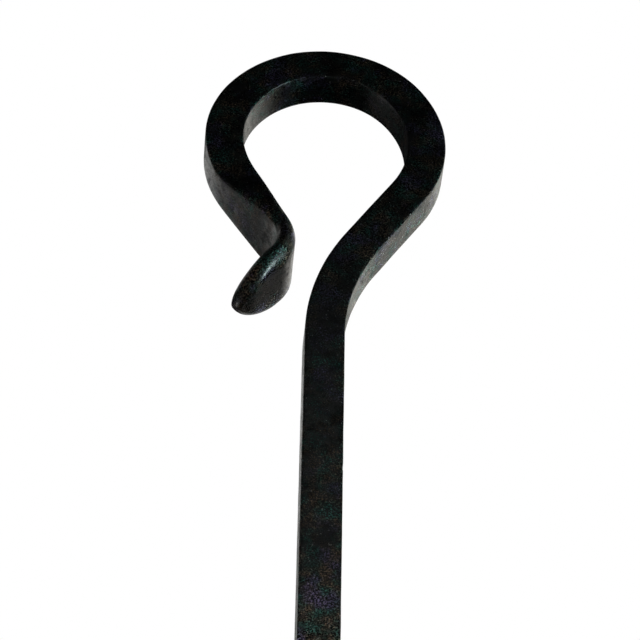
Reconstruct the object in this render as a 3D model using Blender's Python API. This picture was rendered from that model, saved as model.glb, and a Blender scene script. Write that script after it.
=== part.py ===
"""Forged cockspur window fastener with a shepherd's-crook handle and its hook plate.

Metres, +Z up. The pivot's axis is the Y axis; the fixing faces lie in the plane Y = 0 and the
front looks towards -Y. The handle stands up +Z with its spur pointing +X, closed in the hook.
"""
import bmesh
import bpy
from math import cos, pi, radians, sin, sqrt
from mathutils import Matrix, Vector

MM = 0.001

# Clearances
RUNNING_GAP = 0.08 * MM     # round the pivot pin
SEAT_GAP = 0.15 * MM        # between faces that bear on each other
FIT_GAP = 0.2 * MM          # round screws, tenon and cross pin

# Square bar of the crook handle
BAR = 6.2 * MM
BAR_CORNER = 0.07           # corner cut, as a share of the section's side
NECK_HEIGHT = 88.0 * MM     # pivot to the start of the neck bend
NECK_RADIUS = 36.7 * MM
NECK_TURN = radians(32.0)
SLOPE_LENGTH = 13.9 * MM
SIDE_RADIUS = 19.2 * MM
SIDE_TURN = radians(68.0)
CROWN_RADIUS = 15.3 * MM
CROWN_TURN = radians(83.2)
FAR_RADIUS = 17.9 * MM
FAR_TURN = radians(94.4)
LIMB_LENGTH = 11.6 * MM
CURL_RADIUS = 6.1 * MM
CURL_TURN = radians(72.6)
TAIL_LENGTH = 9.7 * MM
ARC_STEP = radians(6.5)

# Spread tail: the bar is drawn down thin and wide towards its end
SPREAD_LEAD = 3.2 * MM      # where spreading starts, before the limb
TAIL_THICKNESS = 0.49       # of BAR, in the plane of the crook
TAIL_WIDTH = 1.96           # of BAR, from front to back
TAIL_SHIFT = 0.8 * MM       # the spread tail sits a little towards the back
TONGUE_LENGTH = 8.5 * MM
TONGUE_POWER = 1.5          # superellipse: 1 is a point, 2 is a half round

# Crank that brings the shank forward of the hub
CRANK_START = 19.0 * MM
CRANK_END = 32.0 * MM
SHANK_Y = -12.5 * MM

# Back plate
PLATE_WIDTH = 32.0 * MM
PLATE_HEIGHT = 57.0 * MM
PLATE_THICKNESS = 3.0 * MM
PLATE_CORNER = 2.5 * MM
PLATE_BEVEL = 0.8 * MM
PLATE_HOLE_X = 10.0 * MM
PLATE_HOLE_Z = 21.5 * MM

# Pivot stack, from the plate forward
WASHER_THICKNESS = 0.8 * MM
HUB_THICKNESS = 8.0 * MM
SPRING_THICKNESS = 0.5 * MM
SPRING_CONE = 0.5 * MM
FRONT_WASHER_THICKNESS = 1.0 * MM
PIN_RADIUS = 3.0 * MM
PIN_HEAD_RADIUS = 5.6 * MM
PIN_HEAD_HEIGHT = 3.0 * MM
PIN_FOOT_RADIUS = 4.6 * MM
PIN_FOOT_DEPTH = 1.6 * MM

WASHER_BACK = -PLATE_THICKNESS - SEAT_GAP
WASHER_FRONT = WASHER_BACK - WASHER_THICKNESS
HUB_BACK = WASHER_FRONT - SEAT_GAP
HUB_FRONT = HUB_BACK - HUB_THICKNESS
HUB_MIDDLE = (HUB_BACK + HUB_FRONT) / 2
SPRING_BACK = HUB_FRONT - SEAT_GAP
SPRING_FRONT = SPRING_BACK - SPRING_THICKNESS - SPRING_CONE
FRONT_WASHER_BACK = SPRING_FRONT - SEAT_GAP
FRONT_WASHER_FRONT = FRONT_WASHER_BACK - FRONT_WASHER_THICKNESS
HEAD_BACK = FRONT_WASHER_FRONT - SEAT_GAP

# Spur hub
HUB_RADIUS = 10.5 * MM
SOCKET_HALF_WIDTH = 5.0 * MM
SOCKET_TOP = 17.0 * MM
SPUR_TIP = 33.0 * MM
SPUR_LOW = -5.5 * MM
SPUR_HIGH_ROOT = 6.0 * MM
SPUR_HIGH_TIP = 3.5 * MM
SPUR_TIP_RADIUS = 3.0 * MM
SPUR_FILLET = 4.0 * MM      # where the spur's edges run into the hub
SPUR_TAPER_START = 14.0 * MM
SPUR_TAPER = 2.2 * MM       # how much the spur thins at its tip, on the back
HUB_BEVEL = 0.7 * MM
TENON = 4.6 * MM
TENON_BOTTOM = 8.0 * MM
CROSS_PIN_HEIGHT = 12.5 * MM
CROSS_PIN_RADIUS = 1.2 * MM
CROSS_PIN_HEAD = 0.35 * MM

# Hook plate
KEEP_CENTRE = 27.5 * MM
KEEP_WIDTH = 18.0 * MM
KEEP_THICKNESS = 2.5 * MM
KEEP_TOP = 24.0 * MM
KEEP_BOTTOM = -28.5 * MM
KEEP_HOLE_HIGH = 16.0 * MM
KEEP_HOLE_LOW = -20.5 * MM
HOOK_WIDTH = 12.0 * MM
HOOK_THICKNESS = 2.8 * MM
HOOK_BEND = 1.2 * MM        # inner radius of the bend
HOOK_TOP = 2.0 * MM
HOOK_SLACK = 0.9 * MM
HOOK_ROOT = -1.2 * MM       # the hook starts inside the plate
HOOK_BEVEL = 0.6 * MM

# Countersunk slotted wood screws
SCREW_HEAD_RADIUS = 3.9 * MM
SCREW_HEAD_DEPTH = 2.1 * MM
SCREW_RIM = 0.25 * MM
SCREW_SHANK_RADIUS = 2.0 * MM
SCREW_PLAIN = 5.0 * MM
SCREW_ROOT_RADIUS = 1.35 * MM
SCREW_LENGTH = 19.0 * MM
SCREW_PITCH = 1.5 * MM
SCREW_THREADS = 7
SCREW_SLOT_WIDTH = 0.9 * MM
SCREW_SLOT_DEPTH = 1.0 * MM

ROUND_SEGMENTS = 40
SCREW_SEGMENTS = 18


def clear_scene():
    for old in list(bpy.data.objects):
        bpy.data.objects.remove(old, do_unlink=True)


def make_material(name, colour, roughness, metallic):
    material = bpy.data.materials.new(name)
    material.use_nodes = True
    shader = material.node_tree.nodes["Principled BSDF"]
    shader.inputs["Base Color"].default_value = (*colour, 1.0)
    shader.inputs["Roughness"].default_value = roughness
    shader.inputs["Metallic"].default_value = metallic
    material.diffuse_color = (*colour, 1.0)
    return material


def add_object(name, bm, look, smooth_angle=None):
    """Turn a bmesh into a scene object; look is (colour, roughness, metallic)."""
    bmesh.ops.recalc_face_normals(bm, faces=bm.faces)
    mesh = bpy.data.meshes.new(name)
    bm.to_mesh(mesh)
    bm.free()
    obj = bpy.data.objects.new(name, mesh)
    bpy.context.scene.collection.objects.link(obj)
    if look is not None:
        mesh.materials.append(make_material(name, *look))
    if smooth_angle is not None:
        mesh.shade_smooth()
        mesh.set_sharp_from_angle(angle=smooth_angle)
    return obj


def combine(target, tool, operation='DIFFERENCE'):
    """Cut one object out of another, or join it on, and leave the tool hidden."""
    tool.hide_render = True
    tool.display_type = 'WIRE'
    boolean = target.modifiers.new(tool.name, 'BOOLEAN')
    boolean.operation = operation
    boolean.object = tool


def bevel_edges(obj, width, segments=1):
    bevel = obj.modifiers.new("edge_bevel", 'BEVEL')
    bevel.width = width
    bevel.segments = segments
    bevel.limit_method = 'ANGLE'
    bevel.angle_limit = radians(40)


def revolve(profile, segments):
    """Spin a closed or axis-to-axis profile of (radius, y) points round the Y axis."""
    bm = bmesh.new()
    verts = [bm.verts.new((radius, y, 0.0)) for radius, y in profile]
    edges = [bm.edges.new(pair) for pair in zip(verts, verts[1:])]
    if profile[0][0] > 0.0:
        edges.append(bm.edges.new((verts[-1], verts[0])))
    bmesh.ops.spin(bm, geom=verts + edges, cent=(0, 0, 0), axis=(0, 1, 0),
                   angle=2 * pi, steps=segments, use_duplicate=False)
    bmesh.ops.remove_doubles(bm, verts=bm.verts, dist=1e-7)
    return bm


def prism(outline, start, end, axis):
    """Extrude an outline of two-value points from start to end along 'X' or 'Y'."""
    bm = bmesh.new()
    if axis == 'Y':
        points = [(a, start, b) for a, b in outline]
        travel = Vector((0, end - start, 0))
    else:
        points = [(start, a, b) for a, b in outline]
        travel = Vector((end - start, 0, 0))
    face = bm.faces.new([bm.verts.new(point) for point in points])
    extruded = bmesh.ops.extrude_face_region(bm, geom=[face])
    moved = [item for item in extruded["geom"] if isinstance(item, bmesh.types.BMVert)]
    bmesh.ops.translate(bm, verts=moved, vec=travel)
    return bm


def block(low, high):
    bm = bmesh.new()
    size = Vector(high) - Vector(low)
    place = Matrix.Translation((Vector(low) + Vector(high)) / 2) @ Matrix.Diagonal((*size, 1))
    bmesh.ops.create_cube(bm, size=1.0, matrix=place)
    return bm


def rod(radius, start_y, end_y, x=0.0, z=0.0, segments=ROUND_SEGMENTS):
    bm = revolve([(0, start_y), (radius, start_y), (radius, end_y), (0, end_y)], segments)
    bmesh.ops.translate(bm, verts=bm.verts, vec=(x, 0, z))
    return bm


def arc_points(centre_x, centre_z, radius, start, end, count):
    return [(centre_x + radius * cos(start + (end - start) * i / count),
             centre_z + radius * sin(start + (end - start) * i / count))
            for i in range(count + 1)]


def rounded_rectangle(left, right, bottom, top, radius, count=3):
    outline = []
    for x, z, start in ((right - radius, top - radius, 0.0),
                        (left + radius, top - radius, pi / 2),
                        (left + radius, bottom + radius, pi),
                        (right - radius, bottom + radius, 3 * pi / 2)):
        outline += arc_points(x, z, radius, start, start + pi / 2, count)
    return outline


# ---------------------------------------------------------------- crook handle

def smooth_step(value):
    value = min(max(value, 0.0), 1.0)
    return value * value * (3 - 2 * value)


class Pen:
    """Draws the bar's centreline in the XZ plane, as stations of (x, z, heading, run)."""

    def __init__(self, x, z, heading):
        self.x = x
        self.z = z
        self.heading = heading
        self.run = 0.0
        self.stations = []

    def mark(self):
        self.stations.append((self.x, self.z, self.heading, self.run))

    def straight(self, length, count=1):
        for _ in range(count):
            self.mark()
            self.x += length / count * cos(self.heading)
            self.z += length / count * sin(self.heading)
            self.run += length / count

    def arc(self, radius, turn):
        """Bend left for a positive turn and right for a negative one."""
        count = max(2, round(abs(turn) / ARC_STEP))
        chord = 2 * radius * sin(abs(turn) / count / 2)
        for _ in range(count):
            self.mark()
            middle = self.heading + turn / count / 2
            self.x += chord * cos(middle)
            self.z += chord * sin(middle)
            self.heading += turn / count
            self.run += radius * abs(turn) / count


def crook_stations():
    """Return the stations from the hub to the tail, and the runs where spreading starts and ends."""
    pen = Pen(0.0, SOCKET_TOP + FIT_GAP, pi / 2)
    pen.straight(CRANK_START - pen.z)
    pen.straight(CRANK_END - CRANK_START, 8)
    pen.straight(NECK_HEIGHT - CRANK_END, 2)
    pen.arc(NECK_RADIUS, -NECK_TURN)
    pen.straight(SLOPE_LENGTH)
    pen.arc(SIDE_RADIUS, SIDE_TURN)
    pen.arc(CROWN_RADIUS, CROWN_TURN)
    pen.arc(FAR_RADIUS, FAR_TURN)
    spread_start = pen.run - SPREAD_LEAD
    pen.straight(LIMB_LENGTH, 6)
    spread_end = pen.run
    pen.arc(CURL_RADIUS, -CURL_TURN)
    pen.straight(TAIL_LENGTH - TONGUE_LENGTH)
    rounding = 9
    for i in range(rounding):
        turn = pi / 2 * i / rounding
        pen.straight(TONGUE_LENGTH * (sin(pi / 2 * (i + 1) / rounding) - sin(turn)))
    pen.mark()
    return pen.stations, spread_start, spread_end


def section_ring(bm, centre, across, through, width, depth):
    """Add one eight-sided ring of the bar; across and through are unit vectors."""
    half_w = width / 2
    half_d = depth / 2
    cut = 1 - 2 * BAR_CORNER
    corners = ((1, -cut), (cut, -1), (-cut, -1), (-1, -cut), (-1, cut), (-cut, 1), (cut, 1), (1, cut))
    return [bm.verts.new(centre + across * a * half_w + through * b * half_d) for a, b in corners]


def make_crook_handle(look):
    """Square bar bent to a crook, cranked at the hub and spread to a curled tongue."""
    stations, spread_start, spread_end = crook_stations()
    total = stations[-1][3]
    neck_run = NECK_HEIGHT - stations[0][1]
    bm = bmesh.new()
    tenon_centre = Vector((0, HUB_MIDDLE, 0))
    rings = []
    for height in (TENON_BOTTOM, SOCKET_TOP + FIT_GAP):
        centre = tenon_centre + Vector((0, 0, height))
        rings.append(section_ring(bm, centre, Vector((-1, 0, 0)), Vector((0, 1, 0)), TENON, TENON))
    crank = CRANK_END - CRANK_START
    for x, z, heading, run in stations:
        share = min(max((z - CRANK_START) / crank, 0.0), 1.0) if run < neck_run else 1.0
        climb = 6 * share * (1 - share) / crank
        tangent = Vector((cos(heading), climb * (SHANK_Y - HUB_MIDDLE), sin(heading))).normalized()
        across = tangent.cross(Vector((0, 1, 0))).normalized()
        through = across.cross(tangent)
        spread = smooth_step((run - spread_start) / (spread_end - spread_start))
        width = BAR * (1 + (TAIL_THICKNESS - 1) * spread)
        depth = BAR * (1 + (TAIL_WIDTH - 1) * spread)
        tip = max(0.0, (run - total + TONGUE_LENGTH) / TONGUE_LENGTH)
        tip = min(tip, 0.998)
        depth *= (1 - tip ** TONGUE_POWER) ** (1 / TONGUE_POWER)
        width *= (1 - tip ** 6) ** (1 / 3)
        y = HUB_MIDDLE + (SHANK_Y - HUB_MIDDLE) * smooth_step(share) + TAIL_SHIFT * spread
        rings.append(section_ring(bm, Vector((x, y, z)), across, through, width, depth))
    for lower, upper in zip(rings, rings[1:]):
        for i in range(len(lower)):
            j = (i + 1) % len(lower)
            bm.faces.new((lower[i], lower[j], upper[j], upper[i]))
    bm.faces.new(rings[0])
    bm.faces.new(rings[-1])
    handle = add_object("crook_handle", bm, look, radians(35))
    hole = add_object("crook_handle_pin_hole",
                      rod(CROSS_PIN_RADIUS + FIT_GAP / 2, 0.0, 2 * HUB_MIDDLE, z=CROSS_PIN_HEIGHT,
                          segments=SCREW_SEGMENTS), None)
    combine(handle, hole)
    return handle


# ------------------------------------------------------------------- spur hub

def angle_of(point):
    return Vector(point).angle_signed(Vector((1, 0)))


def hub_fillet(point, direction, normal):
    """Arc that blends a straight spur edge into the round hub: its centre and two tangent points."""
    reach = HUB_RADIUS + SPUR_FILLET
    start = Vector(point) + Vector(normal) * SPUR_FILLET
    along = start.dot(direction)
    centre = start + Vector(direction) * (sqrt(along ** 2 - start.length_squared + reach ** 2) - along)
    return centre, centre - Vector(normal) * SPUR_FILLET, centre * (HUB_RADIUS / reach)


def fillet_points(centre, first, last, count=4):
    start = angle_of(first - centre)
    turn = (angle_of(last - centre) - start + pi) % (2 * pi) - pi
    return arc_points(centre.x, centre.y, SPUR_FILLET, start, start + turn, count)


def spur_outline():
    """Round hub with a socket block on top and the spur to the right."""
    tip = SPUR_TIP - SPUR_TIP_RADIUS
    high_root = Vector((HUB_RADIUS, SPUR_HIGH_ROOT))
    high_edge = (Vector((tip, SPUR_HIGH_TIP)) - high_root).normalized()
    high_normal = Vector((-high_edge.y, high_edge.x))
    low_centre, low_line, low_hub = hub_fillet((0, SPUR_LOW), Vector((1, 0)), (0, -1))
    high_centre, high_line, high_hub = hub_fillet(high_root, high_edge, high_normal)
    socket_meet = Vector((SOCKET_HALF_WIDTH, sqrt(HUB_RADIUS ** 2 - SOCKET_HALF_WIDTH ** 2)))
    socket_angle = angle_of(socket_meet)
    outline = [(SOCKET_HALF_WIDTH, SOCKET_TOP), (-SOCKET_HALF_WIDTH, SOCKET_TOP)]
    outline += arc_points(0, 0, HUB_RADIUS, pi - socket_angle, 2 * pi + angle_of(low_hub), 22)[:-1]
    outline += fillet_points(low_centre, low_hub, low_line)
    outline += arc_points(tip, SPUR_LOW + SPUR_TIP_RADIUS, SPUR_TIP_RADIUS, -pi / 2, 0, 4)
    outline += arc_points(tip, SPUR_HIGH_TIP - SPUR_TIP_RADIUS, SPUR_TIP_RADIUS, 0, pi / 2, 4)
    outline += fillet_points(high_centre, high_line, high_hub)[:-1]
    outline += arc_points(0, 0, HUB_RADIUS, angle_of(high_hub), socket_angle, 3)
    return outline


def make_spur_hub(look):
    """Pivot eye and spur in one forging, with a square mortise for the handle's tenon."""
    bm = prism(spur_outline(), HUB_BACK, HUB_FRONT, 'Y')
    slope = Vector((SPUR_TAPER, SPUR_TIP - SPUR_TAPER_START, 0)).normalized()
    cut = bmesh.ops.bisect_plane(bm, geom=bm.verts[:] + bm.edges[:] + bm.faces[:],
                                 plane_co=(SPUR_TAPER_START, HUB_BACK, 0), plane_no=slope,
                                 clear_outer=True)
    rim = [item for item in cut["geom_cut"] if isinstance(item, bmesh.types.BMEdge)]
    bmesh.ops.edgenet_fill(bm, edges=rim)
    hub = add_object("spur_hub", bm, look, radians(35))
    bevel_edges(hub, HUB_BEVEL, 2)
    bore = rod(PIN_RADIUS + RUNNING_GAP, HUB_BACK + MM, HUB_FRONT - MM)
    combine(hub, add_object("spur_hub_bore", bore, None))
    half = TENON / 2 + FIT_GAP
    mortise = block((-half, HUB_MIDDLE - half, TENON_BOTTOM - FIT_GAP),
                    (half, HUB_MIDDLE + half, SOCKET_TOP + MM))
    combine(hub, add_object("spur_hub_mortise", mortise, None))
    cross = rod(CROSS_PIN_RADIUS + FIT_GAP, HUB_BACK + MM, HUB_FRONT - MM, z=CROSS_PIN_HEIGHT,
                segments=SCREW_SEGMENTS)
    combine(hub, add_object("spur_hub_cross_hole", cross, None))
    return hub


def make_tenon_pin(look):
    """Cross pin that holds the handle's tenon in the hub, with rounded ends."""
    front = HUB_FRONT - CROSS_PIN_HEAD
    profile = [(0, HUB_BACK), (CROSS_PIN_RADIUS, HUB_BACK), (CROSS_PIN_RADIUS, HUB_FRONT),
               (CROSS_PIN_RADIUS * 0.7, front + CROSS_PIN_HEAD * 0.3), (0, front)]
    bm = revolve(profile, SCREW_SEGMENTS)
    bmesh.ops.translate(bm, verts=bm.verts, vec=(0, 0, CROSS_PIN_HEIGHT))
    return add_object("tenon_pin", bm, look, radians(35))


# ---------------------------------------------------------------- pivot stack

def make_pivot_pin(look):
    """Rivet: domed head in front, foot spread flush into the back of the plate."""
    profile = [(0, 0), (PIN_FOOT_RADIUS - FIT_GAP, 0), (PIN_RADIUS, -PIN_FOOT_DEPTH),
               (PIN_RADIUS, HEAD_BACK), (PIN_HEAD_RADIUS, HEAD_BACK)]
    rise = 7
    for i in range(1, rise + 1):
        turn = pi / 2 * i / rise
        profile.append((PIN_HEAD_RADIUS * cos(turn), HEAD_BACK - PIN_HEAD_HEIGHT * sin(turn)))
    profile[-1] = (0, HEAD_BACK - PIN_HEAD_HEIGHT)
    return add_object("pivot_pin", revolve(profile, ROUND_SEGMENTS), look, radians(35))


def make_washer(name, outer, back, front, look):
    inner = PIN_RADIUS + FIT_GAP
    corner = min(0.2 * MM, (back - front) / 4)
    profile = [(inner, back), (outer - corner, back), (outer, back - corner),
               (outer, front + corner), (outer - corner, front), (inner, front)]
    return add_object(name, revolve(profile, ROUND_SEGMENTS), look, radians(35))


def make_spring_washer(look):
    """Coned disc spring that keeps the hub stiff on its pin."""
    inner = PIN_RADIUS + FIT_GAP
    outer = 7.4 * MM
    profile = [(inner, SPRING_BACK - SPRING_CONE), (outer, SPRING_BACK),
               (outer, SPRING_BACK - SPRING_THICKNESS), (inner, SPRING_FRONT)]
    return add_object("spring_washer", revolve(profile, ROUND_SEGMENTS), look, radians(35))


# --------------------------------------------------------- plates and screws

def drill_countersunk(plate, name, x, z, front):
    """Clearance hole with a countersink from the plate's front face."""
    gap = FIT_GAP
    mouth = SCREW_HEAD_RADIUS + gap
    throat = SCREW_SHANK_RADIUS + gap
    profile = [(0, front - MM), (mouth, front - MM), (mouth, front + SCREW_RIM),
               (throat, front + SCREW_HEAD_DEPTH + gap / 2), (throat, MM), (0, MM)]
    bm = revolve(profile, 24)
    bmesh.ops.translate(bm, verts=bm.verts, vec=(x, 0, z))
    combine(plate, add_object(name, bm, None))


def make_plate(name, left, right, bottom, top, thickness, look):
    """Flat plate with its back on Y = 0, rounded corners and a bevelled front edge."""
    bm = prism(rounded_rectangle(left, right, bottom, top, PLATE_CORNER), 0.0, -thickness, 'Y')
    front_edges = [edge for edge in bm.edges
                   if all(vert.co.y < -thickness / 2 for vert in edge.verts)]
    bmesh.ops.bevel(bm, geom=front_edges, offset=PLATE_BEVEL, segments=2, profile=0.5, affect='EDGES')
    return add_object(name, bm, look, radians(35))


def make_back_plate(look):
    """Sash plate with four countersunk holes and a recess behind for the rivet's foot."""
    plate = make_plate("back_plate", -PLATE_WIDTH / 2, PLATE_WIDTH / 2, -PLATE_HEIGHT / 2,
                       PLATE_HEIGHT / 2, PLATE_THICKNESS, look)
    for i, (x, z) in enumerate(plate_hole_places(), start=1):
        drill_countersunk(plate, f"back_plate_hole_{i}", x, z, -PLATE_THICKNESS)
    profile = [(0, MM), (PIN_FOOT_RADIUS, MM), (PIN_FOOT_RADIUS, 0),
               (PIN_RADIUS + FIT_GAP, -PIN_FOOT_DEPTH - FIT_GAP),
               (PIN_RADIUS + FIT_GAP, -PLATE_THICKNESS - MM), (0, -PLATE_THICKNESS - MM)]
    combine(plate, add_object("back_plate_bore", revolve(profile, ROUND_SEGMENTS), None))
    return plate


def plate_hole_places():
    return [(x, z) for z in (PLATE_HOLE_Z, -PLATE_HOLE_Z) for x in (-PLATE_HOLE_X, PLATE_HOLE_X)]


def hook_profile():
    """Side view of the hook as (y, z): a ledge and a lip bent up in front of the spur."""
    ledge_top = SPUR_LOW - SEAT_GAP
    ledge_bottom = ledge_top - HOOK_THICKNESS
    lip_inner = HUB_FRONT - HOOK_SLACK
    lip_outer = lip_inner - HOOK_THICKNESS
    round_top = HOOK_THICKNESS / 2
    bend_y = lip_inner + HOOK_BEND
    bend_z = ledge_top + HOOK_BEND
    outer = HOOK_BEND + HOOK_THICKNESS
    profile = [(HOOK_ROOT, ledge_bottom)]
    profile += arc_points(bend_y, bend_z, outer, -pi / 2, -pi, 6)
    profile += arc_points(lip_outer + round_top, HOOK_TOP - round_top, round_top, pi, 0, 6)
    profile += arc_points(bend_y, bend_z, HOOK_BEND, -pi, -pi / 2, 3)
    profile.append((HOOK_ROOT, ledge_top))
    return profile


def make_hook_plate(look):
    """Keep for the window frame: a plate with an upward hook that the spur drops into."""
    keep = make_plate("hook_plate", KEEP_CENTRE - KEEP_WIDTH / 2, KEEP_CENTRE + KEEP_WIDTH / 2,
                      KEEP_BOTTOM, KEEP_TOP, KEEP_THICKNESS, look)
    bm = prism(hook_profile(), KEEP_CENTRE - HOOK_WIDTH / 2, KEEP_CENTRE + HOOK_WIDTH / 2, 'X')
    sides = [face for face in bm.faces if len(face.verts) > 4]
    rims = [edge for edge in {edge for face in sides for edge in face.edges}
            if min(vert.co.y for vert in edge.verts) < HOOK_ROOT]
    bmesh.ops.bevel(bm, geom=rims, offset=HOOK_BEVEL, segments=1, affect='EDGES')
    hook = add_object("hook_plate_hook", bm, None)
    combine(keep, hook, 'UNION')
    for i, z in enumerate((KEEP_HOLE_HIGH, KEEP_HOLE_LOW), start=1):
        drill_countersunk(keep, f"hook_plate_hole_{i}", KEEP_CENTRE, z, -KEEP_THICKNESS)
    return keep


def screw_profile():
    """Outline of a wood screw from the middle of its head to its point, head face at Y = 0."""
    profile = [(0, 0), (SCREW_HEAD_RADIUS, 0), (SCREW_HEAD_RADIUS, SCREW_RIM),
               (SCREW_SHANK_RADIUS, SCREW_HEAD_DEPTH), (SCREW_SHANK_RADIUS, SCREW_PLAIN)]
    for i in range(SCREW_THREADS):
        y = SCREW_PLAIN + SCREW_PITCH * (i + 0.35)
        shrink = 1 - 0.05 * i
        profile.append((SCREW_ROOT_RADIUS * shrink, y))
        profile.append((SCREW_SHANK_RADIUS * shrink, y + SCREW_PITCH * 0.35))
    profile.append((SCREW_ROOT_RADIUS * 0.6, SCREW_LENGTH - SCREW_PITCH))
    profile.append((0, SCREW_LENGTH))
    return profile


def make_screw(name, x, z, face, slot_angle, look):
    """Countersunk slotted wood screw with its head face at Y = face."""
    bm = revolve(screw_profile(), SCREW_SEGMENTS)
    screw = add_object(name, bm, look, radians(35))
    half = SCREW_SLOT_WIDTH / 2
    reach = SCREW_HEAD_RADIUS + MM
    slot = block((-reach, -MM, -half), (reach, SCREW_SLOT_DEPTH, half))
    cutter = add_object(name + "_slot", slot, None)
    place = Matrix.Translation((x, face, z)) @ Matrix.Rotation(slot_angle, 4, 'Y')
    screw.matrix_world = place
    cutter.matrix_world = place
    combine(screw, cutter)
    return screw


def make_screws(look):
    head_inset = 0.1 * MM
    angles = (radians(20), radians(-35), radians(75), radians(5), radians(-20), radians(50))
    places = [("plate_screw", x, z, -PLATE_THICKNESS + head_inset) for x, z in plate_hole_places()]
    for z in (KEEP_HOLE_HIGH, KEEP_HOLE_LOW):
        places.append(("keep_screw", KEEP_CENTRE, z, -KEEP_THICKNESS + head_inset))
    counts = {}
    for (kind, x, z, face), angle in zip(places, angles):
        counts[kind] = counts.get(kind, 0) + 1
        make_screw(f"{kind}_{counts[kind]}", x, z, face, angle, look)


# ------------------------------------------------------------------- assembly

def main():
    black_iron = ((0.012, 0.012, 0.013), 0.42, 0.55)
    plate_black = ((0.014, 0.014, 0.015), 0.48, 0.5)
    screw_black = ((0.02, 0.02, 0.021), 0.4, 0.7)
    brass = ((0.52, 0.36, 0.14), 0.35, 1.0)
    spring_steel = ((0.28, 0.28, 0.29), 0.3, 1.0)
    clear_scene()
    pivot = bpy.data.objects.new("handle_pivot", None)
    pivot.empty_display_size = HUB_RADIUS
    bpy.context.scene.collection.objects.link(pivot)
    for moving in (make_crook_handle(black_iron), make_spur_hub(black_iron), make_tenon_pin(black_iron)):
        moving.parent = pivot
    make_back_plate(plate_black)
    make_pivot_pin(black_iron)
    make_washer("bearing_washer", 9.0 * MM, WASHER_BACK, WASHER_FRONT, brass)
    make_spring_washer(spring_steel)
    make_washer("front_washer", 7.2 * MM, FRONT_WASHER_BACK, FRONT_WASHER_FRONT, plate_black)
    make_hook_plate(plate_black)
    make_screws(screw_black)


main()
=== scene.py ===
"""Looks of the forged cockspur fastener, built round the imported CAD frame.

The pivot axis is Y, the fixing faces lie at y = 0, the front is -Y, the crook points to +Z
and the spur to +X. Lengths are in metres unless a comment says mm.
"""
import bmesh
import bpy
from math import cos, pi, radians, sin, sqrt
from mathutils import Matrix, Vector, noise


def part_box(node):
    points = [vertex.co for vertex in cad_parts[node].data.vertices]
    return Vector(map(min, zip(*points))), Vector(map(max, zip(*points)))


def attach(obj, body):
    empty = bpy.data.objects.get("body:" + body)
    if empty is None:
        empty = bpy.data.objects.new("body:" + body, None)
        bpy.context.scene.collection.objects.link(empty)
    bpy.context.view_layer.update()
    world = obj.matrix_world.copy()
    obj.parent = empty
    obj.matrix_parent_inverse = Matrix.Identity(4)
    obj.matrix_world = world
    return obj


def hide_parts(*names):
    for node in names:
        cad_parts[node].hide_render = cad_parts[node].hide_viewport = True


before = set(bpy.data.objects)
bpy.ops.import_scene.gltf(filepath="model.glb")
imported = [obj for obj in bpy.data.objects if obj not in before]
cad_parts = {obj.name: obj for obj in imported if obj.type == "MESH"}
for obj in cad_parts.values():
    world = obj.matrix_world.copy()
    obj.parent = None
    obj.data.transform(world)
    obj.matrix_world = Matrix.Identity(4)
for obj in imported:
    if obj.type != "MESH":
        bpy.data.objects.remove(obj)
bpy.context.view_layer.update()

MM = 0.001

# -------------------------------------------------------------- sizes of the crook

BAR = 6.2 * MM                  # side of the square bar
BAR_CORNER = 0.32 * MM          # radius of its arrises
SHANK_Y = -12.5 * MM            # middle of the bar, in front of the plate
HUB_Y = -8.1 * MM               # middle of the hub's socket
TENON = 4.6 * MM                # side of the square tenon
TENON_BOTTOM = 8.0 * MM
SOCKET_TOP = 17.2 * MM
CRANK_START = 19.0 * MM         # the shank steps forwards between these two heights
CRANK_END = 32.0 * MM
NECK_HEIGHT = 88.0 * MM         # top of the straight shank; the bends follow in order
NECK_RADIUS = 36.7 * MM
NECK_TURN = radians(32.0)
SLOPE_LENGTH = 13.9 * MM
SIDE_RADIUS = 19.2 * MM
SIDE_TURN = radians(68.0)
CROWN_RADIUS = 15.3 * MM
CROWN_TURN = radians(83.2)
FAR_RADIUS = 17.9 * MM
FAR_TURN = radians(94.4)
LIMB_LENGTH = 11.6 * MM
CURL_RADIUS = 6.1 * MM
CURL_TURN = radians(72.6)
TAIL_LENGTH = 9.7 * MM
SPREAD_LEAD = 3.2 * MM          # the tail starts to spread this far before the limb
TAIL_THICKNESS = 0.49           # share of the bar's side
TAIL_WIDTH = 1.96               # share of the bar's side
TAIL_SHIFT = 0.8 * MM           # how far back the spread tail sits
TAIL_CORNER = 1.45 * MM
TAIL_FACET = 0.55               # how flat its lower front corner is: 1 is a plain chamfer
FACET_FADE = 0.35               # share of the tail's length, from the tip, without the facet
TONGUE_LENGTH = 8.5 * MM        # the rounded end of the tail
TONGUE_POWER = 1.5              # how round its outline is
TONGUE_THINNING = 6             # a higher power keeps it thick for longer...
TONGUE_BLUNTING = 1 / 3         # ...and a lower one ends it more bluntly
TONGUE_END = 0.998              # the last section stops just short of a point
TONGUE_STEPS = 30
STATION_STEP = 0.45 * MM        # between sections along the bar
FLAT_POINTS = 7                 # steps along each flat of a section
CORNER_POINTS = 6               # steps round each corner of a section
CORNER_LIMIT = 0.47             # largest corner radius, as a share of a side
CROOK_HAMMER = (0.05 * MM, 5.0 * MM, 0.02 * MM)     # depth and size of hollows, skin
CROOK_SEED = 1

# Small dents from use: place, radius and depth, all in mm
NICKS = (
    ((-17.4, -15.5, 120.3), 0.7, 0.16),
    ((-14.6, -11.6, 116.0), 0.55, 0.13),
    ((-13.1, -9.6, 113.6), 0.6, 0.12),
    ((-1.5, -15.5, 144.5), 0.5, 0.12),
    ((-0.5, -15.5, 144.2), 0.4, 0.09),
    ((9.6, -15.4, 112.9), 0.6, 0.12),
    ((3.0, -15.5, 62.0), 0.7, 0.14),
)


def smooth_step(value):
    value = min(max(value, 0.0), 1.0)
    return value * value * (3 - 2 * value)


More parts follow.
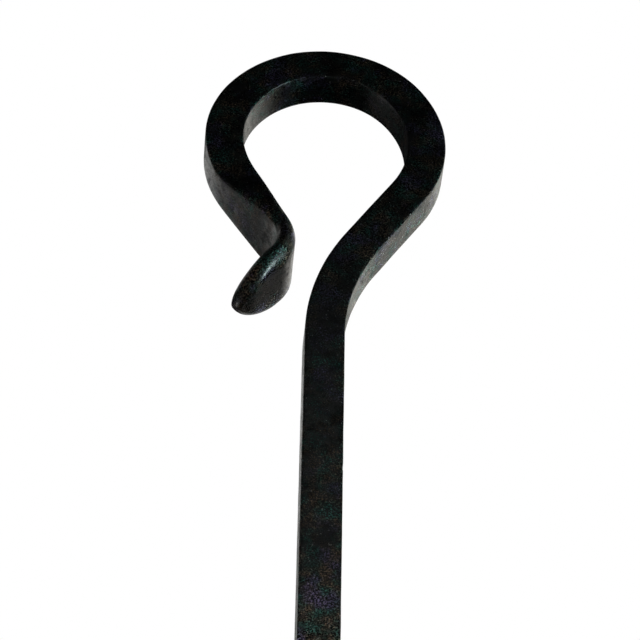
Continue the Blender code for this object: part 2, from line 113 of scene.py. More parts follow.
class Pen:
    """Draws the bar's centreline in the XZ plane as stations (x, z, heading, run)."""

    def __init__(self, x, z, heading):
        self.x = x
        self.z = z
        self.heading = heading
        self.run = 0.0
        self.stations = []

    def mark(self):
        self.stations.append((self.x, self.z, self.heading, self.run))

    def advance(self, chord, heading, run):
        self.mark()
        self.x += chord * cos(heading)
        self.z += chord * sin(heading)
        self.run += run

    def straight(self, length):
        count = max(1, round(length / STATION_STEP))
        for _ in range(count):
            self.advance(length / count, self.heading, length / count)

    def arc(self, radius, turn):
        count = max(2, round(radius * abs(turn) / STATION_STEP))
        chord = 2 * radius * sin(abs(turn) / count / 2)
        for _ in range(count):
            middle = self.heading + turn / count / 2
            self.advance(chord, middle, radius * abs(turn) / count)
            self.heading += turn / count

    def tongue(self, length, count):
        """A straight whose stations crowd together towards its end."""
        for i in range(count):
            low = sin(pi / 2 * i / count)
            high = sin(pi / 2 * (i + 1) / count)
            step = length * (high - low)
            self.advance(step, self.heading, step)


def crook_stations():
    """The bar's stations, and the runs where the tail starts and stops spreading."""
    pen = Pen(0.0, SOCKET_TOP, pi / 2)
    pen.straight(NECK_HEIGHT - SOCKET_TOP)
    pen.arc(NECK_RADIUS, -NECK_TURN)
    pen.straight(SLOPE_LENGTH)
    pen.arc(SIDE_RADIUS, SIDE_TURN)
    pen.arc(CROWN_RADIUS, CROWN_TURN)
    pen.arc(FAR_RADIUS, FAR_TURN)
    spread_start = pen.run - SPREAD_LEAD
    pen.straight(LIMB_LENGTH)
    spread_end = pen.run
    pen.arc(CURL_RADIUS, -CURL_TURN)
    pen.straight(TAIL_LENGTH - TONGUE_LENGTH)
    pen.tongue(TONGUE_LENGTH, TONGUE_STEPS)
    pen.mark()
    return pen.stations, spread_start, spread_end


def section_points(width, depth, corner, facet):
    """Rounded rectangle outline of the bar as (across, through) offsets.

    facet draws down and flattens the front corner on the outside of the crook, from 0 for
    a plain round one to 1 for a flat.
    """
    radius = min(corner, width * CORNER_LIMIT, depth * CORNER_LIMIT)
    drawn = min(radius * (1 + facet), depth * CORNER_LIMIT)
    corners = ((1, 1, 0.0, radius), (-1, 1, pi / 2, radius),
               (-1, -1, pi, radius), (1, -1, 3 * pi / 2, drawn))
    arcs = [[(a * (width / 2 - radius) + radius * cos(start + pi / 2 * i / CORNER_POINTS),
              b * (depth / 2 - through) + through * sin(start + pi / 2 * i / CORNER_POINTS))
             for i in range(CORNER_POINTS + 1)] for a, b, start, through in corners]
    first, last = Vector(arcs[3][0]), Vector(arcs[3][-1])
    arcs[3] = [tuple(Vector(point).lerp(first.lerp(last, i / CORNER_POINTS), facet))
               for i, point in enumerate(arcs[3])]
    points = []
    for arc, following in zip(arcs, arcs[1:] + arcs[:1]):
        points += arc
        points += [tuple(Vector(arc[-1]).lerp(Vector(following[0]), i / FLAT_POINTS))
                   for i in range(1, FLAT_POINTS)]
    return points


# -------------------------------------------------------------------- mesh tools

SEED_STEPS = (7.3, 3.1, 5.7)    # how far each seed moves the noise, in lumps
SKIN_SCALE = 0.3                # the skin's lumps, as a share of the hammer hollows'
SKIN_SEED = 11
WEAR_RADIUS = 0.8 * MM          # an edge this round or sharper counts as fully exposed
WEAR_BLUR = 0.15 * MM           # keeps very short mesh edges from counting as sharp
SOFT_EDGES = radians(50)        # bends sharper than these are shaded as edges
TURNED_EDGES = radians(35)
DISC_EDGES = radians(60)
CAD_MERGE = 0.001 * MM          # vertices closer than these are made one
SPIN_MERGE = 0.0001 * MM


def lumps(point, size, seed):
    """Smooth noise from -1 to 1 with lumps of about the given size."""
    return noise.noise(point / size + Vector([seed * step for step in SEED_STEPS]))


def beat(bm, depth, size, skin, seed):
    """Sink the surface by hammer hollows of the given depth and size, and a finer skin."""
    bm.normal_update()
    moves = []
    for vert in bm.verts:
        hollow = 0.5 + 0.5 * lumps(vert.co, size, seed)
        fine = 0.5 + 0.5 * lumps(vert.co, size * SKIN_SCALE, seed + SKIN_SEED)
        moves.append((vert, vert.normal * (hollow * depth + fine * skin)))
    for vert, move in moves:
        vert.co -= move


def nick(bm, centre, radius, depth):
    """Press a small dent into the surface round a point."""
    centre = Vector(centre)
    moves = []
    for vert in bm.verts:
        away = (vert.co - centre).length / radius
        if away < 1:
            moves.append((vert, vert.normal * depth * (1 - away * away) ** 2))
    for vert, move in moves:
        vert.co -= move


def mark_wear(bm):
    """Store how sharply convex the mesh is at each vertex, for rubbed edges."""
    bm.normal_update()
    layer = bm.verts.layers.float.new("wear")
    raw = {}
    for vert in bm.verts:
        bend = 0.0
        for edge in vert.link_edges:
            step = vert.co - edge.other_vert(vert).co
            bend += 2 * vert.normal.dot(step) / (step.length_squared + WEAR_BLUR ** 2)
        raw[vert] = min(max(bend / len(vert.link_edges) * WEAR_RADIUS, 0.0), 1.0)
    for vert in bm.verts:
        near = [raw[edge.other_vert(vert)] for edge in vert.link_edges]
        vert[layer] = (raw[vert] + sum(near)) / (1 + len(near))


def new_mesh(name, bm):
    """Turn a bmesh into a mesh and free it."""
    mesh = bpy.data.meshes.new(name)
    bm.to_mesh(mesh)
    bm.free()
    return mesh


def new_object(name, data):
    obj = bpy.data.objects.new(name, data)
    bpy.context.scene.collection.objects.link(obj)
    return obj


def add_piece(name, bm, look, body, node, sharp=SOFT_EDGES):
    """Add a finished piece that rides on a body and stands for a CAD node."""
    bmesh.ops.recalc_face_normals(bm, faces=bm.faces)
    mark_wear(bm)
    mesh = new_mesh(name, bm)
    mesh.shade_smooth()
    mesh.set_sharp_from_angle(angle=sharp)
    mesh.materials.append(look)
    obj = new_object(name, mesh)
    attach(obj, body)
    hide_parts(node)


def evaluated(mesh, modify):
    """Run modifiers over a mesh and return the result as a bmesh; modify adds them."""
    obj = new_object("temporary", mesh)
    modify(obj)
    result = obj.evaluated_get(bpy.context.evaluated_depsgraph_get()).to_mesh()
    bm = bmesh.new()
    bm.from_mesh(result)
    bpy.data.objects.remove(obj, do_unlink=True)
    return bm


def bridge(bm, rings):
    """Join closed rings of vertices, one after another, with quads."""
    count = len(rings[0])
    for lower, upper in zip(rings, rings[1:]):
        for i in range(count):
            j = (i + 1) % count
            bm.faces.new((lower[i], lower[j], upper[j], upper[i]))


def revolve(profile, segments):
    """Spin a closed or axis-to-axis profile of (radius, y) points round the Y axis."""
    bm = bmesh.new()
    verts = [bm.verts.new((radius, y, 0.0)) for radius, y in profile]
    edges = [bm.edges.new(pair) for pair in zip(verts, verts[1:])]
    if profile[0][0] > 0.0:
        edges.append(bm.edges.new((verts[-1], verts[0])))
    bmesh.ops.spin(bm, geom=verts + edges, cent=(0, 0, 0), axis=(0, 1, 0),
                   angle=2 * pi, steps=segments, use_duplicate=False)
    bmesh.ops.remove_doubles(bm, verts=bm.verts, dist=SPIN_MERGE)
    return bm


def arc_points(centre_a, centre_b, radius, start, end, count):
    return [(centre_a + radius * cos(start + (end - start) * i / count),
             centre_b + radius * sin(start + (end - start) * i / count))
            for i in range(count + 1)]


# -------------------------------------------------------- crook, hub and plates

def make_crook(look):
    """The bar swept as a fine mesh, with its hammered faces, soft arrises and spread tail."""
    stations, spread_start, spread_end = crook_stations()
    total = stations[-1][3]
    neck_run = NECK_HEIGHT - SOCKET_TOP
    crank = CRANK_END - CRANK_START
    bm = bmesh.new()
    rings = []

    def ring(centre, across, through, width, depth, corner, facet=0.0):
        rings.append([bm.verts.new(centre + across * a + through * b)
                      for a, b in section_points(width, depth, corner, facet)])

    for height in (TENON_BOTTOM, SOCKET_TOP):
        ring(Vector((0, HUB_Y, height)), Vector((-1, 0, 0)), Vector((0, 1, 0)),
             TENON, TENON, BAR_CORNER)
    for x, z, heading, run in stations:
        share = min(max((z - CRANK_START) / crank, 0.0), 1.0) if run < neck_run else 1.0
        climb = 6 * share * (1 - share) / crank     # the slope of smooth_step
        tangent = Vector((cos(heading), climb * (SHANK_Y - HUB_Y), sin(heading))).normalized()
        across = tangent.cross(Vector((0, 1, 0))).normalized()
        through = across.cross(tangent)
        spread = smooth_step((run - spread_start) / (spread_end - spread_start))
        y = HUB_Y + (SHANK_Y - HUB_Y) * smooth_step(share) + TAIL_SHIFT * spread
        tip = min(max(0.0, (run - total + TONGUE_LENGTH) / TONGUE_LENGTH), TONGUE_END)
        width = BAR * (1 + (TAIL_THICKNESS - 1) * spread)
        width *= (1 - tip ** TONGUE_THINNING) ** TONGUE_BLUNTING
        depth = BAR * (1 + (TAIL_WIDTH - 1) * spread)
        depth *= (1 - tip ** TONGUE_POWER) ** (1 / TONGUE_POWER)
        soften = smooth_step((run - spread_start) / (spread_end - spread_start + CURL_RADIUS))
        fade = smooth_step(((total - run) / TAIL_LENGTH - FACET_FADE) / (1 - FACET_FADE))
        corner = BAR_CORNER + (TAIL_CORNER - BAR_CORNER) * soften
        ring(Vector((x, y, z)), across, through, width, depth, corner,
             TAIL_FACET * soften * fade)
    bridge(bm, rings)
    bm.faces.new(rings[0])
    bm.faces.new(rings[-1])
    bmesh.ops.recalc_face_normals(bm, faces=bm.faces)
    beat(bm, *CROOK_HAMMER, CROOK_SEED)
    for centre, radius, depth in NICKS:
        nick(bm, [side * MM for side in centre], radius * MM, depth * MM)
    add_piece("crook_bar", bm, look, "handle", "crook_handle")


# Piece, node, body, slot, size of the remesh's voxels, hollows as (depth, size, skin) and
# seed, with the lengths in mm
FORGINGS = (
    ("forged_spur_hub", "spur_hub", "handle", "forged_iron", 0.26, (0.16, 4.0, 0.05), 2),
    ("forged_back_plate", "back_plate", "fastener_base", "plate_iron", 0.3,
     (0.18, 6.0, 0.04), 3),
    ("forged_hook_plate", "hook_plate", "fastener_base", "plate_iron", 0.28,
     (0.16, 5.0, 0.04), 5),
)
RELAX_STEPS = 4


def forge(name, node_name, body, voxel, hammer, seed, look):
    """A hammered copy of a CAD solid: edges drawn soft, faces beaten, nothing outside it."""
    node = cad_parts[node_name]
    bm = bmesh.new()
    bm.from_mesh(node.data)
    bm.transform(node.matrix_world)
    bmesh.ops.remove_doubles(bm, verts=bm.verts, dist=CAD_MERGE)

    def modify(obj):
        remesh = obj.modifiers.new("remesh", 'REMESH')
        remesh.mode = 'VOXEL'
        remesh.voxel_size = voxel * MM
        relax = obj.modifiers.new("relax", 'SMOOTH')
        relax.factor = 0.5
        relax.iterations = RELAX_STEPS

    fine = evaluated(new_mesh(name, bm), modify)
    beat(fine, *(length * MM for length in hammer), seed)
    add_piece(name, fine, look, body, node_name)


# ------------------------------------------------------------------ pivot parts

RIVET_FOOT = 4.4 * MM           # radii of the pin
RIVET_SHAFT = 3.0 * MM
RIVET_HEAD = 5.6 * MM
RIVET_FOOT_DEPTH = 1.6 * MM     # the foot narrows to the shaft over this depth
RIVET_FOOT_EDGE = 0.1 * MM      # the foot's back edge, half as high as it is wide
RIVET_BACK = -14.55 * MM        # back face of the head
RIVET_EASE = 0.15 * MM          # width of the chamfer at the head's back edge...
RIVET_RIM = 0.12 * MM           # ...and its height, where the dome begins
RIVET_RISE = 3.0 * MM           # head's thickness
RIVET_STEPS = 26                # rings of the dome
RIVET_SEGMENTS = 120
RIVET_SEED = 0.7
DOME_FACETS = 17
DOME_LIMIT = radians(74)        # facets reach this far down from the top
DOME_FIRST = 0.4                # keeps the first facet off the very top
DOME_FACET_DEPTH = 0.965        # distance of a facet from the middle, as a share of the dome
DOME_UNEVEN = 0.01              # how much that share varies, and how fast from facet to facet
DOME_UNEVEN_STEP = 2.4
PIN_RADIUS = 1.2 * MM
PIN_EASE = 0.25 * MM            # chamfer at the back end
PIN_CROWN = 0.35 * MM           # rounding at the front end
PIN_SEGMENTS = 48
DISC_EASE = 0.18 * MM           # rounding of a washer's rims...
DISC_EASE_LIMIT = 0.3           # ...at most this share of its thickness
DISC_EASE_STEPS = 4
DISC_SEGMENTS = 128
DISC_SEED = 4
DISC_UNEVEN = (0.02 * MM, 3.0 * MM)     # depth and size of the lumps in a washer
WASHER_BORE = 3.2 * MM          # inner radius of all three; then their outer radii
BEARING_RADIUS = 9.0 * MM
FRONT_RADIUS = 7.2 * MM
SPRING_RADIUS = 7.4 * MM
SPRING_CONE = 0.5 * MM          # how far its inner rim stands forward of its outer one


def hammer_dome(bm, base_y, radius, height, facets, seed):
    """Flatten hammer facets onto a dome that stands towards -Y from base_y."""
    golden = pi * (3 - sqrt(5))
    for k in range(facets):
        tilt = sqrt((k + DOME_FIRST) / facets) * DOME_LIMIT
        turn = k * golden + seed
        facing = Vector((sin(tilt) * cos(turn), -cos(tilt), sin(tilt) * sin(turn)))
        reach = sqrt((radius * sin(tilt)) ** 2 + (height * cos(tilt)) ** 2)
        limit = reach * (DOME_FACET_DEPTH + DOME_UNEVEN * sin(k * DOME_UNEVEN_STEP))
        for vert in bm.verts:
            if vert.co.y < base_y:
                local = vert.co - Vector((0, base_y, 0))
                over = local.dot(facing) - limit
                if over > 0:
                    vert.co -= facing * over
                    vert.co.y = min(vert.co.y, base_y)


def make_rivet(look):
    """Pivot pin: foot spread into the plate, plain shaft, hammered dome."""
    profile = [(0, 0), (RIVET_FOOT - 2 * RIVET_FOOT_EDGE, 0), (RIVET_FOOT, -RIVET_FOOT_EDGE),
               (RIVET_SHAFT, -RIVET_FOOT_DEPTH)]
    profile += [(RIVET_SHAFT, RIVET_BACK * share) for share in (0.3, 0.5, 0.7, 0.9, 1.0)]
    profile += [(RIVET_HEAD * 0.8, RIVET_BACK), (RIVET_HEAD - RIVET_EASE, RIVET_BACK)]
    dome_base = RIVET_BACK - RIVET_RIM
    for i in range(RIVET_STEPS + 1):
        turn = pi / 2 * i / RIVET_STEPS
        profile.append((RIVET_HEAD * cos(turn),
                        dome_base - (RIVET_RISE - RIVET_RIM) * sin(turn)))
    profile[-1] = (0, RIVET_BACK - RIVET_RISE)
    bm = revolve(profile, RIVET_SEGMENTS)
    hammer_dome(bm, dome_base, RIVET_HEAD, RIVET_RISE, DOME_FACETS, RIVET_SEED)
    add_piece("pivot_rivet", bm, look, "fastener_base", "pivot_pin",
              TURNED_EDGES)


def make_cross_pin(look):
    """Cross pin through hub and tenon, chamfered behind and peened over in front."""
    low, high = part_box("tenon_pin")
    crown_start = low.y + PIN_CROWN
    profile = [(0, high.y), (PIN_RADIUS - PIN_EASE, high.y), (PIN_RADIUS, high.y - PIN_EASE)]
    profile += [(PIN_RADIUS, high.y + (low.y - high.y) * share) for share in (0.25, 0.5, 0.75)]
    profile += [(PIN_RADIUS, crown_start)]
    profile += [(PIN_RADIUS * cos(turn), low.y + PIN_CROWN * (1 - sin(turn)))
                for turn in (pi / 12, pi / 6, pi / 4, pi / 3)]
    profile += [(0, low.y)]
    bm = revolve(profile, PIN_SEGMENTS)
    bmesh.ops.translate(bm, verts=bm.verts, vec=(0, 0, (low.z + high.z) / 2))
    add_piece("cross_pin", bm, look, "handle", "tenon_pin", TURNED_EDGES)


def make_disc(name, node_name, look, inner, outer, cone=0.0):
    """Turned washer with eased rims; cone lifts its inner rim towards the front."""
    low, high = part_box(node_name)
    thick = high.y - low.y - cone
    ease = min(DISC_EASE, thick * DISC_EASE_LIMIT)
    profile = []
    for radius, towards in ((outer - ease, 1), (inner + ease, -1)):
        start = -pi / 2 if towards > 0 else pi / 2
        lift = -cone if towards < 0 else 0.0
        for side, begin in ((-1, start), (1, start + pi / 2)):
            middle = high.y - thick / 2 + lift + side * towards * (thick / 2 - ease)
            profile += arc_points(radius, middle, ease, begin, begin + pi / 2,
                                  DISC_EASE_STEPS)
    bm = revolve(profile, DISC_SEGMENTS)
    bm.normal_update()
    depth, size = DISC_UNEVEN
    for vert in bm.verts:
        vert.co -= vert.normal * depth * (0.5 + 0.5 * lumps(vert.co, size, DISC_SEED))
    add_piece(name, bm, look, "fastener_base", node_name, DISC_EDGES)


# ----------------------------------------------------------------------- screws

SCREW_HEAD = 3.9 * MM           # radii
SCREW_SHANK = 2.0 * MM
SCREW_ROOT = 1.35 * MM
SCREW_EASE = 0.12 * MM          # chamfer of the head's edge
SCREW_RIM = 0.25 * MM           # the countersink starts at this depth
SCREW_SINK = 2.1 * MM           # and ends here
THREAD_START = 5.0 * MM
SCREW_LENGTH = 19.0 * MM
THREAD_PITCH = 1.5 * MM
THREAD_ROWS = 116               # steps along the thread
THREAD_FLANK = 0.26             # half width of the tooth, as a share of the pitch
THREAD_TAPER = 0.033            # share of the radius lost with each turn
THREAD_RUNOUT = 0.6             # turns over which the core thins to the root
SCREW_POINT = 4.0 * MM          # length of the point
SCREW_SEGMENTS = 40             # and round it
SLOT_BOX = (12 * MM, 4 * MM, 0.9 * MM)  # the box that cuts the slot, 1 mm into the head
SLOT_CENTRE = -1 * MM
SLOT_EASE = 0.06 * MM           # bevel of the slot's and head's edges
SLOT_EASE_FROM = radians(55)
# The node that each screw stands for, and how far its slot is turned, in degrees
SCREWS = (("plate_screw_1", 20), ("plate_screw_2", -35), ("plate_screw_3", 75),
          ("plate_screw_4", 5), ("keep_screw_1", -20), ("keep_screw_2", 50))


def thread_reach(y, part_of_turn):
    """Radius of the threaded part at a depth and a share of a turn."""
    along = (y - THREAD_START) / THREAD_PITCH
    tooth = max(0.0, 1 - abs((along - part_of_turn) % 1.0 - 0.5) / THREAD_FLANK)
    taper = (1 - THREAD_TAPER * along) * min(1.0, sqrt((SCREW_LENGTH - y) / SCREW_POINT))
    rise = min(1.0, along / THREAD_RUNOUT)
    core = (SCREW_SHANK + (SCREW_ROOT - SCREW_SHANK) * rise) * taper
    return core + (SCREW_SHANK * taper - core) * tooth


def screw_profile():
    """Outline of the screw as (radius, y); the thread's rows have no radius of their own."""
    profile = [(SCREW_HEAD * 0.35, 0.0), (SCREW_HEAD * 0.7, 0.0),
               (SCREW_HEAD - SCREW_EASE, 0.0), (SCREW_HEAD, SCREW_EASE),
               (SCREW_HEAD, SCREW_RIM)]
    steps = 5
    profile += [(SCREW_HEAD + (SCREW_SHANK - SCREW_HEAD) * i / steps,
                 SCREW_RIM + (SCREW_SINK - SCREW_RIM) * i / steps)
                for i in range(1, steps + 1)]
    profile += [(SCREW_SHANK, SCREW_SINK + (THREAD_START - SCREW_SINK) * i / steps)
                for i in range(1, steps + 1)]
    profile += [(None, THREAD_START + (SCREW_LENGTH - THREAD_START) * i / THREAD_ROWS)
                for i in range(1, THREAD_ROWS)]
    return profile


def screw_mesh():
    """A countersunk wood screw along +Y, head at Y = 0, with a cut slot and a real thread."""
    bm = bmesh.new()
    rings = []
    for radius, y in screw_profile():
        verts = []
        for j in range(SCREW_SEGMENTS):
            turn = 2 * pi * j / SCREW_SEGMENTS
            reach = thread_reach(y, j / SCREW_SEGMENTS) if radius is None else radius
            verts.append(bm.verts.new((reach * cos(turn), y, reach * sin(turn))))
        rings.append(verts)
    bridge(bm, rings)
    for ring, y in ((rings[0], 0.0), (rings[-1], SCREW_LENGTH)):
        centre = bm.verts.new((0, y, 0))
        for j in range(SCREW_SEGMENTS):
            bm.faces.new((ring[j], ring[(j + 1) % SCREW_SEGMENTS], centre))
    bmesh.ops.recalc_face_normals(bm, faces=bm.faces)
    cut = bmesh.new()
    place = Matrix.Translation((0, SLOT_CENTRE, 0)) @ Matrix.Diagonal((*SLOT_BOX, 1))
    bmesh.ops.create_cube(cut, size=1.0, matrix=place)
    cutter = new_object("slot_cut", new_mesh("slot_cut", cut))

    def modify(obj):
        boolean = obj.modifiers.new("slot", 'BOOLEAN')
        boolean.object = cutter
        boolean.solver = 'EXACT'
        edge = obj.modifiers.new("ease", 'BEVEL')
        edge.width = SLOT_EASE
        edge.segments = 2
        edge.limit_method = 'ANGLE'
        edge.angle_limit = SLOT_EASE_FROM

    slotted = evaluated(new_mesh("screw_blank", bm), modify)
    bpy.data.objects.remove(cutter, do_unlink=True)
    return slotted


def make_screws(look):
    pattern = screw_mesh()
    for node_name, angle in SCREWS:
        low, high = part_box(node_name)
        bm = pattern.copy()
        place = Matrix.Translation(((low.x + high.x) / 2, low.y, (low.z + high.z) / 2))
        bm.transform(place @ Matrix.Rotation(radians(angle), 4, 'Y'))
        add_piece(node_name + "_threaded", bm, look, "fastener_base",
                  node_name, TURNED_EDGES)
    pattern.free()


# -------------------------------------------------------------------- materials

IRON_IOR = 1.25                 # low, because the photo's blacks are nearly pure
PLAIN_IOR = 1.45
NOISE_ROUGHNESS = 0.55          # of a noise that names none of its own

# Noises in the iron: size, detail and, where it isn't the usual one, roughness
CLOUDS = (4.5 * MM, 5)
MOTTLE = (1.1 * MM, 7, 0.62)
SPECK = (0.34 * MM, 2)
FINE = (0.26 * MM, 2, 0.6)
SMEAR = (2.1 * MM, 6, 0.65)
BROWN_OR_GREEN = (2.6 * MM, 3)
VIOLET_PATCHES = (3.4 * MM, 3)
# What the noises drive: their low and high end, then the values that those give
CLOUDS_TO_TONE = (0.36, 0.66, 0.08, 1.0)
FINE_TO_TONE = (0.48, 0.66, 0.0, 1.0)
TO_GREEN = (0.43, 0.57, 0.0, 1.0)
TO_VIOLET = (0.5, 0.62, 0.0, 0.95)
SPECK_TO_DUST = (0.665, 0.73, 0.0)      # the highest share of dust is in IRONS
MOTTLE_TO_BARE = (0.38, 0.62, 0.1, 0.6)
MOTTLE_TO_ROUGHNESS = (0.36, 0.64)      # so are the smoothest and roughest patch
FINE_TO_ROUGHNESS = (0.35, 0.65, -0.1, 0.12)
SMEAR_TO_ROUGHNESS = (0.52, 0.64, 0.0, 0.2)
BROWN = (1.3, 0.92, 0.62)               # tints of the oxide, times the light tone
GREEN = (0.35, 1.2, 0.98)
VIOLET = (0.9, 0.75, 1.45)
DUST_COLOUR = (0.16, 0.158, 0.15)
RUBBED_COLOUR = (0.045, 0.044, 0.042)
CLOUD_RELIEF = 0.03 * MM
MOTTLE_RELIEF = 0.012 * MM
# Dark and light tone, smoothest and roughest patch, depth of the grain, share of dust
IRONS = {
    "forged_black": ((0.0005, 0.0005, 0.0005), (0.105, 0.105, 0.105), 0.24, 0.38,
                     0.006 * MM, 0.8),
    "plate_black": ((0.002, 0.002, 0.0021), (0.03, 0.03, 0.0305), 0.36, 0.54,
                    0.008 * MM, 0.8),
    "screw_black": ((0.003, 0.003, 0.0032), (0.016, 0.0158, 0.0155), 0.25, 0.4,
                    0.005 * MM, 0.4),
}

# Noises and marks in the turned metals
TARNISH = (2.2 * MM, 5)
STAINS = (0.2 * MM, 3)
TARNISH_TO_TONE = (0.32, 0.68, 0.0, 1.0)
TARNISH_TO_ROUGHNESS = (0.3, 0.7)
STAINS_TO_SHARE = (0.62, 0.74, 0.0, 0.6)
RING_SCALE = 1500
RING_WAVER = 1.2
RING_DETAIL = 2
TURNED_RELIEF = 0.006 * MM
# Dark and light tone, smoothest and roughest patch, colour of the stains
TURNED = {
    "brass": ((0.36, 0.22, 0.075), (0.62, 0.43, 0.17), 0.22, 0.42, (0.12, 0.07, 0.03)),
    "spring_steel": ((0.2, 0.2, 0.205), (0.36, 0.36, 0.365), 0.2, 0.36,
                     (0.08, 0.07, 0.065)),
}

FLOOR_CLOUDS = (0.35, 4)
FLOOR_GRAIN = (0.004, 3)
FLOOR_TONES = ((0.955, 0.955, 0.95), (0.975, 0.975, 0.97))
FLOOR_TO_TONE = (0.3, 0.7, 0.0, 1.0)
FLOOR_TO_ROUGHNESS = (0.3, 0.7, 0.8, 0.95)
FLOOR_RELIEF = 0.1 * MM


class Look:
    """Builds one procedural material node by node."""

    def __init__(self, name, ior, metallic=0.0):
        self.material = bpy.data.materials.new(name)
        self.material.use_nodes = True
        self.tree = self.material.node_tree
        self.shader = self.tree.nodes["Principled BSDF"]
        self.shader.inputs["IOR"].default_value = ior
        self.shader.inputs["Metallic"].default_value = metallic
        self.place = self.tree.nodes.new("ShaderNodeTexCoord").outputs["Object"]

    def link(self, source, target):
        self.tree.links.new(source, target)

    def noise(self, size, detail, roughness=NOISE_ROUGHNESS):
        """Noise with features of about the given size in metres."""
        made = self.tree.nodes.new("ShaderNodeTexNoise")
        made.inputs["Scale"].default_value = 1 / size
        made.inputs["Detail"].default_value = detail
        made.inputs["Roughness"].default_value = roughness
        self.link(self.place, made.inputs["Vector"])
        return made.outputs["Fac"]

    def rings(self):
        """Fine rings round the Y axis, as a lathe tool leaves them."""
        made = self.tree.nodes.new("ShaderNodeTexWave")
        made.wave_type = 'RINGS'
        made.rings_direction = 'Y'
        made.inputs["Scale"].default_value = RING_SCALE
        made.inputs["Distortion"].default_value = RING_WAVER
        made.inputs["Detail"].default_value = RING_DETAIL
        self.link(self.place, made.inputs["Vector"])
        return made.outputs["Fac"]

    def wear(self):
        made = self.tree.nodes.new("ShaderNodeAttribute")
        made.attribute_name = "wear"
        return made.outputs["Fac"]

    def span(self, value, low, high, to_low, to_high):
        """Stretch the range low to high over the range to_low to to_high, and stop there."""
        made = self.tree.nodes.new("ShaderNodeMapRange")
        self.link(value, made.inputs["Value"])
        for name, number in (("From Min", low), ("From Max", high),
                             ("To Min", to_low), ("To Max", to_high)):
            made.inputs[name].default_value = number
        return made.outputs["Result"]

    def math(self, operation, first, second):
        made = self.tree.nodes.new("ShaderNodeMath")
        made.operation = operation
        self.link(first, made.inputs[0])
        self.link(second, made.inputs[1])
        return made.outputs[0]

    def blend(self, share, first, second):
        """Mix two colours, each a tuple or another node's output."""
        made = self.tree.nodes.new("ShaderNodeMix")
        made.data_type = 'RGBA'
        self.link(share, made.inputs["Factor"])
        for socket, value in ((made.inputs[6], first), (made.inputs[7], second)):
            if isinstance(value, tuple):
                socket.default_value = (*value, 1)
            else:
                self.link(value, socket)
        return made.outputs[2]

    def bump(self, height, depth, under=None):
        """Relief of the given depth in metres, laid over an earlier relief."""
        made = self.tree.nodes.new("ShaderNodeBump")
        made.inputs["Distance"].default_value = depth
        made.inputs["Strength"].default_value = 1.0
        self.link(height, made.inputs["Height"])
        if under is not None:
            self.link(under, made.inputs["Normal"])
        return made.outputs["Normal"]

    def finish(self, colour, roughness, normal):
        self.link(colour, self.shader.inputs["Base Color"])
        self.link(roughness, self.shader.inputs["Roughness"])
        self.link(normal, self.shader.inputs["Normal"])
        return self.material


def black_iron(name):
    """Blackened iron: tinted oxide, fine grain, specks of dust, edges rubbed a little bare."""
    dark, light, smooth, rough, grain, dust = IRONS[name]
    look = Look(name, IRON_IOR)
    clouds, mottle, speck, fine = (look.noise(*kind) for kind in (CLOUDS, MOTTLE, SPECK, FINE))
    tone = look.math('MULTIPLY', look.span(clouds, *CLOUDS_TO_TONE),
                     look.span(fine, *FINE_TO_TONE))
    brown, green, violet = (tuple(part * share for part, share in zip(light, shares))
                            for shares in (BROWN, GREEN, VIOLET))
    tint = look.blend(look.span(look.noise(*BROWN_OR_GREEN), *TO_GREEN), brown, green)
    tint = look.blend(look.span(look.noise(*VIOLET_PATCHES), *TO_VIOLET), tint, violet)
    colour = look.blend(tone, dark, tint)
    colour = look.blend(look.span(speck, *SPECK_TO_DUST, dust), colour, DUST_COLOUR)
    bare = look.math('MULTIPLY', look.wear(), look.span(mottle, *MOTTLE_TO_BARE))
    colour = look.blend(bare, colour, RUBBED_COLOUR)
    roughness = look.math('ADD', look.span(mottle, *MOTTLE_TO_ROUGHNESS, smooth, rough),
                          look.span(fine, *FINE_TO_ROUGHNESS))
    roughness = look.math('ADD', roughness,
                          look.span(look.noise(*SMEAR), *SMEAR_TO_ROUGHNESS))
    relief = look.bump(clouds, CLOUD_RELIEF)
    relief = look.bump(mottle, MOTTLE_RELIEF, relief)
    relief = look.bump(fine, grain, relief)
    return look.finish(colour, roughness, relief)


def turned_metal(name):
    """Turned sheet metal: rings from the tool, tarnish in clouds and a few darker stains."""
    dark, light, smooth, rough, stain = TURNED[name]
    look = Look(name, PLAIN_IOR, metallic=1.0)
    clouds = look.noise(*TARNISH)
    fine = look.noise(*STAINS)
    rings = look.rings()
    colour = look.blend(look.span(clouds, *TARNISH_TO_TONE), dark, light)
    colour = look.blend(look.span(fine, *STAINS_TO_SHARE), colour, stain)
    roughness = look.span(clouds, *TARNISH_TO_ROUGHNESS, rough, smooth)
    relief = look.bump(rings, TURNED_RELIEF)
    relief = look.bump(fine, TURNED_RELIEF, relief)
    return look.finish(colour, roughness, relief)


def floor_look():
    """Pale studio sweep that glows, so that it stays pale far from the lights."""
    look = Look("pale_floor", PLAIN_IOR)
    clouds = look.noise(*FLOOR_CLOUDS)
    fine = look.noise(*FLOOR_GRAIN)
    colour = look.blend(look.span(clouds, *FLOOR_TO_TONE), *FLOOR_TONES)
    look.link(colour, look.shader.inputs["Emission Color"])
    look.shader.inputs["Emission Strength"].default_value = 1.0
    return look.finish(colour, look.span(fine, *FLOOR_TO_ROUGHNESS),
                       look.bump(fine, FLOOR_RELIEF))


# ----------------------------------------------------------------------- studio

# The camera, fitted to the photo: it stands below the crook and looks up at it
CAMERA_AZIMUTH = 0.0636         # this and the next two in radians
CAMERA_RISE = 0.7283
CAMERA_ROLL = 0.0218
CAMERA_DISTANCE = 454.5 * MM
CAMERA_LENS = 166.5             # mm
CAMERA_SENSOR = 36              # mm
AIM = Vector((-0.6 * MM, SHANK_Y, NECK_HEIGHT + 5.04 * MM))

WORLD_STRENGTH = 0.015
WORLD_COLOUR = (0.9, 0.95, 1.0, 1)
FLOOR_HEIGHT = -0.5
FLOOR_REACH = 40.0

